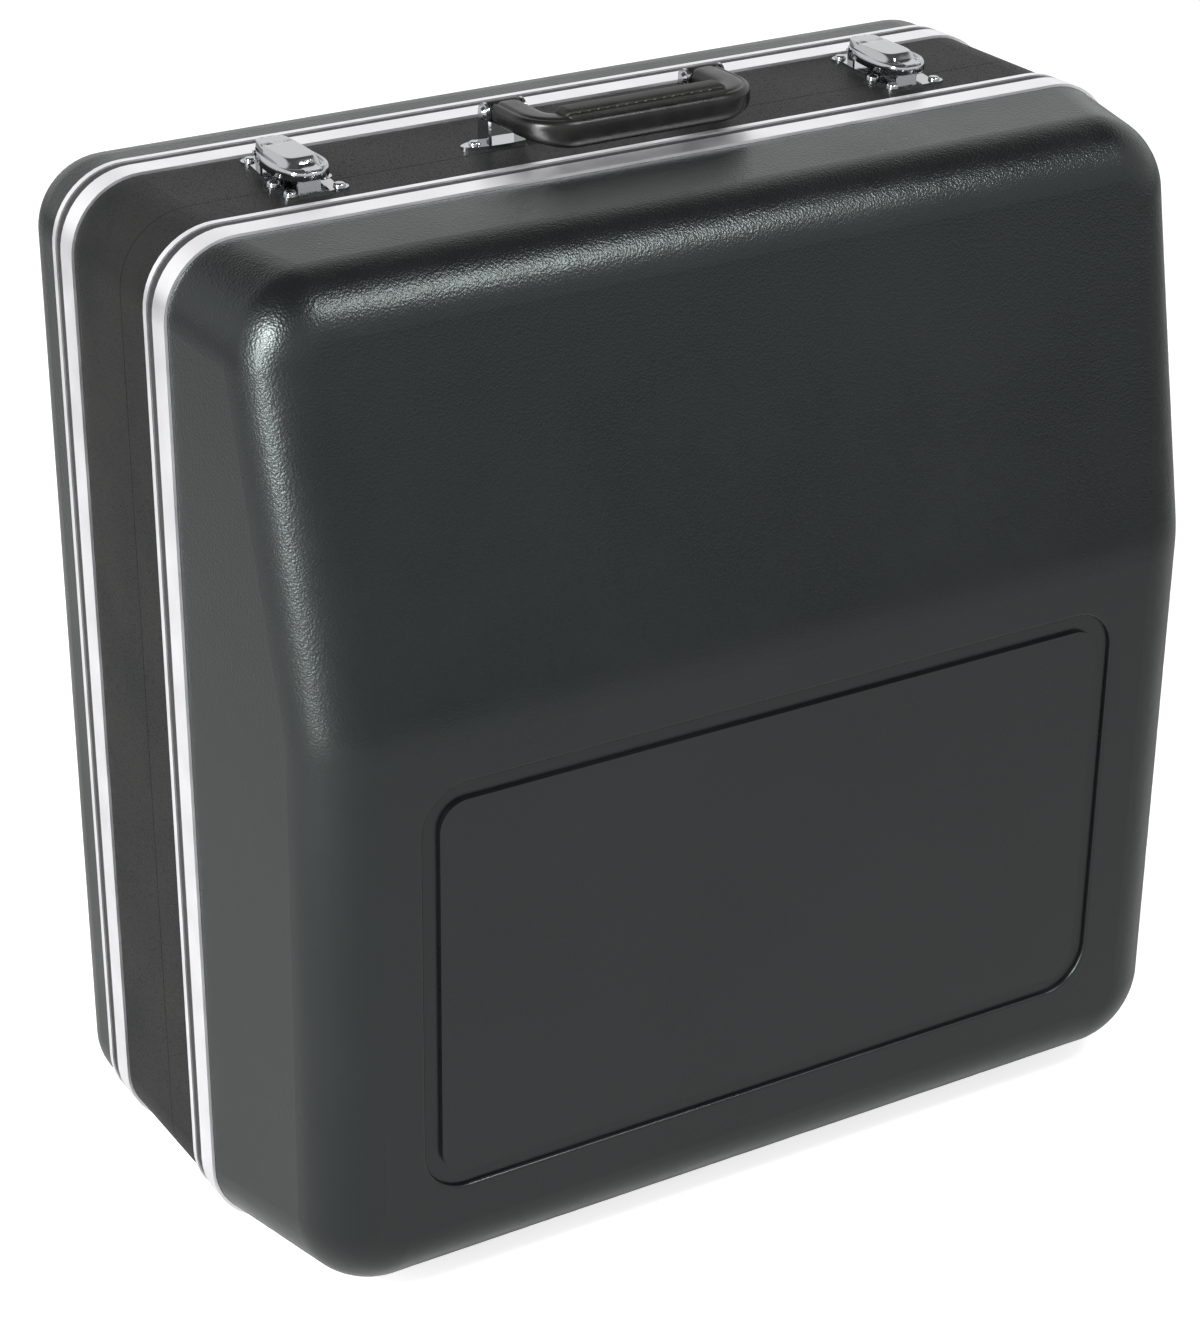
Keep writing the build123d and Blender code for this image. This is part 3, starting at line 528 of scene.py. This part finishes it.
# Handle: a bow injected in black nylon, with a bead along its outer edge and an eye at each end for
# the bracket's pin. The mould's fine spark texture takes the gloss off it, and hands polish it in
# patches of some 17 mm.
spark_size = 0.0005
moulded_nylon, tree, shader, place = skin("spark_textured_black_nylon", {"Specular IOR Level": 0.3})
spark = put(tree, "ShaderNodeTexNoise", {"Vector": place, "Scale": 1 / spark_size, "Detail": 2.0})
etched = put(tree, "ShaderNodeBump", {"Height": spark.outputs["Fac"], "Strength": 0.18, "Distance": 0.0002})
palm = put(tree, "ShaderNodeTexNoise", {"Vector": place, "Scale": 60.0, "Detail": 3.0})
handled = put(
    tree,
    "ShaderNodeMapRange",
    {"Value": palm.outputs["Fac"], "From Min": 0.3, "From Max": 0.7, "To Min": 0.22, "To Max": 0.36},
)
tone = put(tree, "ShaderNodeValToRGB", {"Fac": palm.outputs["Fac"]})
black_stop, faded_stop = tone.color_ramp.elements
black_stop.position, black_stop.color = 0.30, colour("#0A0A0A")
faded_stop.position, faded_stop.color = 0.75, colour("#151514")
feed(shader, {"Base Color": tone.outputs["Color"], "Roughness": handled.outputs["Result"]})
feed(shader, {"Normal": etched.outputs["Normal"]})

pivot = np.array(next(joint["pos_m"] for joint in frame["joints"] if joint["name"] == "handle_fold"))
bow_low, bow_high = (np.array(corner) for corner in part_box("handle_frame"))
bow_half_thick = (bow_high[2] - bow_low[2]) / 2
arm_width, bar_width = 0.018, 0.017
bar_drop = 0.0045
arm_x = bow_high[0] - arm_width / 2
bar_y = bow_low[1] + bar_width / 2
corner_radius = 0.0165
pin_gap = 0.0035
eye_bore = 0.00245
bow_power = 3.4
groove_inset, groove_depth, groove_width = 0.004, 0.0007, 0.0009


def bow_section(angle, width, thick):
    """A rounded bar across its length: a superellipse, with a groove along its top whose depth is a bell
    curve. The groove lies near the outer edge and leaves a bead there."""
    across = width / 2 * signed_power(np.cos(angle), 2 / bow_power)
    up = thick / 2 * signed_power(np.sin(angle), 2 / bow_power)
    from_groove = (across - (width / 2 - groove_inset)) / groove_width
    return across, up - groove_depth * np.exp(-(from_groove**2)) * (up > 0)


arm_end_y = pivot[1] - pin_gap
arm_run = arm_end_y - (bar_y + corner_radius)
half_bar = arm_x - corner_radius
quarter = corner_radius * np.pi / 2
lengths = np.array([arm_run, quarter, 2 * half_bar, quarter, arm_run])
starts = np.concatenate([[0], np.cumsum(lengths)[:-1]])
along = np.linspace(0, lengths.sum(), 96)
left_arm, left_bend, bar, right_bend, right_arm = np.clip((along - starts[:, None]) / lengths[:, None], 0, 1)
left_turn, right_turn = left_bend * np.pi / 2, right_bend * np.pi / 2
path_x = -arm_x + corner_radius * (1 - np.cos(left_turn)) + 2 * half_bar * bar
path_x = path_x + corner_radius * np.sin(right_turn)
path_y = arm_end_y - arm_run * left_arm - corner_radius * np.sin(left_turn)
path_y = path_y + corner_radius * (1 - np.cos(right_turn)) + arm_run * right_arm
turned = left_turn + right_turn
outward_x, outward_y = -np.cos(turned)[:, None], -np.sin(turned)[:, None]
on_bar = np.sin(turned)[:, None] ** 2
section_angle = np.linspace(0, 2 * np.pi, 72, endpoint=False)[None, :]
widths = arm_width + (bar_width - arm_width) * on_bar
across, up = bow_section(section_angle, widths, 2 * bow_half_thick + bar_drop * on_bar)
bow_x, bow_y = path_x[:, None] + outward_x * across, path_y[:, None] + outward_y * across
bow = np.stack([bow_x, bow_y, pivot[2] + up - bar_drop / 2 * on_bar], axis=-1)


def arm_eye(middle_x):
    """The ring at the end of an arm, round the pin: a rounded band, as wide as the arm, from the bore to
    the arm's half thickness, carried once round the pin's axis. Its rows run round that band."""
    turn = np.linspace(0, 2 * np.pi, 48, endpoint=False)
    around = np.linspace(0, 2 * np.pi, 32, endpoint=False)[:, None]
    middle, half = (eye_bore + bow_half_thick) / 2, (bow_half_thick - eye_bore) / 2
    wide = signed_power(np.cos(around), 0.35) * arm_width / 2
    radius = middle + half * signed_power(np.sin(around), 0.5)
    ring = [middle_x + wide + 0 * turn, pivot[1] + radius * np.cos(turn), pivot[2] + radius * np.sin(turn)]
    return np.stack(ring, axis=-1)


bow_mesh = closed_mesh("handle_bow", [bow], rings=[arm_eye(-arm_x), arm_eye(arm_x)])
piece = add_piece("handle_bow", bow_mesh, moulded_nylon, "handle")
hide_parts("handle_frame")

# Grip: a foam pad covered with thin black leather, let into the back and top of the bar, so that the
# bow's front stays bare. The leather's pores are 0.9 mm apart, and hands have oiled it in patches.
pore_size = 0.0009
grip_leather, tree, shader, place = skin("thin_black_leather", {"Roughness": 0.42, "Specular IOR Level": 0.2})
pores = put(
    tree, "ShaderNodeTexVoronoi", {"Vector": place, "Scale": 1 / pore_size}, feature="DISTANCE_TO_EDGE"
)
furrow = put(tree, "ShaderNodeMapRange", {"Value": pores.outputs["Distance"], "From Max": 0.2})
soft = put(tree, "ShaderNodeBump", {"Height": furrow.outputs["Result"], "Strength": 0.30, "Distance": 0.0002})
oiled = put(tree, "ShaderNodeTexNoise", {"Vector": place, "Scale": 90.0, "Detail": 3.0})
patina = put(tree, "ShaderNodeValToRGB", {"Fac": oiled.outputs["Fac"]})
oiled_stop, dry_stop = patina.color_ramp.elements
oiled_stop.position, oiled_stop.color = 0.30, colour("#0A0A0A")
dry_stop.position, dry_stop.color = 0.75, colour("#191815")
feed(shader, {"Base Color": patina.outputs["Color"], "Normal": soft.outputs["Normal"]})

grip_low, grip_high = (np.array(corner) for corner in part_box("handle_grip"))
pad_inset_front, pad_inset_below = 0.0042, 0.001
pad_stands_back, pad_stands_up = 0.001, 0.0022
grip_half_length = (grip_high[0] - grip_low[0]) / 2
grip_half_depth = (grip_high[1] + pad_stands_back - grip_low[1] - pad_inset_front) / 2
grip_half_height = (grip_high[2] + pad_stands_up - grip_low[2] - pad_inset_below) / 2
grip_y = grip_high[1] + pad_stands_back - grip_half_depth
grip_z = grip_high[2] + pad_stands_up - grip_half_height
end_starts, end_size = 0.93, 0.6
stitch_rows = np.radians([52.0, 128.0])
dimple_depth, dimple_spread = 0.0005, 0.10


def grip_surface(share, angle):
    """The pad's cover, at a share of its half length and an angle round it. Across, it is a superellipse
    of power 3. Near an end its size falls off as the root of a quarter ellipse. A dimple, a bell curve
    of the angle, follows each row of stitches."""
    close = np.clip((np.abs(share) - end_starts) / (1 - end_starts), 0, 1)
    size = end_size + (1 - end_size) * np.sqrt(np.clip(1 - close**2, 0, 1))
    dimple = sum(dimple_depth * np.exp(-(((angle - row) / dimple_spread) ** 2)) for row in stitch_rows)
    y = grip_y + (grip_half_depth * size - dimple) * signed_power(np.cos(angle), 2 / 3)
    z = grip_z + (grip_half_height * size - dimple) * signed_power(np.sin(angle), 2 / 3)
    return np.stack([grip_half_length * share + 0 * angle, y, z], axis=-1)


grip_share = np.sin(np.linspace(-np.pi / 2, np.pi / 2, 80))[:, None]
grip_angle = np.linspace(0, 2 * np.pi, 96, endpoint=False)[None, :]
grip_mesh = closed_mesh("grip_pad", [grip_surface(grip_share, grip_angle)])
piece = add_piece("grip_pad", grip_mesh, grip_leather, "handle")
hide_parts("handle_grip")

# Stitches: waxed linen thread, sewn through the grip's cover along both of its upper edges. Its plies
# are about 0.35 mm apart, and the wax leaves it a dull grey.
thread_radius = 0.00035
stitch_length, stitch_pitch, stitch_rise, stitch_sink = 0.0018, 0.0053, 0.0004, 0.0001
stitched_share = 0.86
waxed_thread, tree, shader, place = skin("waxed_linen_thread", {"Roughness": 0.35})
twist = put(tree, "ShaderNodeTexWave", {"Vector": place, "Scale": 900.0, "Distortion": 1.0})
plies = put(tree, "ShaderNodeBump", {"Height": twist.outputs["Fac"], "Strength": 0.5, "Distance": 0.0001})
# The colour paints shade into the thread: darker in the grooves between the plies and paler on the plies,
# over the wax's dull grey.
wax_grey_and_groove_shade = put(tree, "ShaderNodeValToRGB", {"Fac": twist.outputs["Fac"]})
shaded_groove_stop, lit_ply_stop = wax_grey_and_groove_shade.color_ramp.elements
shaded_groove_stop.color, lit_ply_stop.color = colour("#232523"), colour("#454844")
feed(shader, {"Base Color": wax_grey_and_groove_shade.outputs["Color"], "Normal": plies.outputs["Normal"]})


def stitch(share_start, row):
    """One stitch: a tube whose middle line arches by a sine from hole to hole over the cover, and
    whose radius, the root of a sine, is full between its ends."""
    step = np.linspace(0, 1, 9)[:, None]
    share = share_start + step * stitch_length / grip_half_length
    out = np.array([0, np.cos(row), np.sin(row)])
    aside = np.array([0, -np.sin(row), np.cos(row)])
    arch = stitch_rise * np.sin(np.pi * step) - stitch_sink
    spine = grip_surface(share, np.full_like(share, row))[:, 0] + out * arch
    turn = np.linspace(0, 2 * np.pi, 8, endpoint=False)[None, :, None]
    radius = thread_radius * np.sqrt(np.sin(np.pi * (0.04 + 0.92 * step)))[:, :, None]
    return spine[:, None, :] + radius * (out * np.cos(turn) + aside * np.sin(turn))


stitch_starts = np.arange(-stitched_share, stitched_share, stitch_pitch / grip_half_length)
stitches = [stitch(start, row) for row in stitch_rows for start in stitch_starts]
thread_mesh = closed_mesh("grip_stitches", stitches)
add_piece("grip_stitches", thread_mesh, waxed_thread, "handle")

# Hinges, foot screws and claw springs: zinc plated steel, passivated clear. The crystals of the zinc
# are a millimetre or two across, and dull.
crystal = 0.0016
zinc, tree, shader, place = skin("zinc_plated_steel", {"Metallic": 1.0})
spangle = put(tree, "ShaderNodeTexVoronoi", {"Vector": place, "Scale": 1 / crystal})
facets = put(tree, "ShaderNodeSeparateColor", {"Color": spangle.outputs["Color"]})
frost = put(tree, "ShaderNodeMapRange", {"Value": facets.outputs[0], "To Min": 0.26, "To Max": 0.46})
steel = put(tree, "ShaderNodeValToRGB", {"Fac": facets.outputs[0]})
dark_stop, light_stop = steel.color_ramp.elements
dark_stop.color, light_stop.color = colour("#A8ADB2"), colour("#C6C8C8")
plated = put(tree, "ShaderNodeBump", {"Height": facets.outputs[0], "Strength": 0.08, "Distance": 0.0002})
feed(shader, {"Base Color": steel.outputs["Color"], "Roughness": frost.outputs["Result"]})
feed(shader, {"Normal": plated.outputs["Normal"]})
for side in ("left", "right"):
    dress(zinc, f"hinge_leaf_body_{side}", f"hinge_leaf_lid_{side}", f"latch_spring_{side}")
dress(zinc, "hinge_pins", "hinge_rivets_body", "hinge_rivets_lid", "foot_screws_body", "foot_screws_lid")

# Feet: moulded rubber studs, matt and slightly rough, each held by one screw. They are greyed with
# floor dust over the lowest 8 mm.
dust_height = 0.008
rubber, tree, shader, place = skin("black_rubber", {"Roughness": 0.72})
crumb = put(tree, "ShaderNodeTexNoise", {"Vector": place, "Scale": 700.0, "Detail": 4.0})
rough = put(tree, "ShaderNodeBump", {"Height": crumb.outputs["Fac"], "Strength": 0.25, "Distance": 0.0003})
above_floor = put(tree, "ShaderNodeSeparateXYZ", {"Vector": place})
dusty = put(tree, "ShaderNodeMapRange", {"Value": above_floor.outputs["Z"], "From Max": dust_height})
grey = put(tree, "ShaderNodeValToRGB", {"Fac": dusty.outputs["Result"]})
dusty_stop, bare_stop = grey.color_ramp.elements
dusty_stop.color, bare_stop.color = colour("#3A3937"), colour("#151515")
feed(shader, {"Base Color": grey.outputs["Color"], "Normal": rough.outputs["Normal"]})
dress(rubber, "feet_body", "feet_lid")
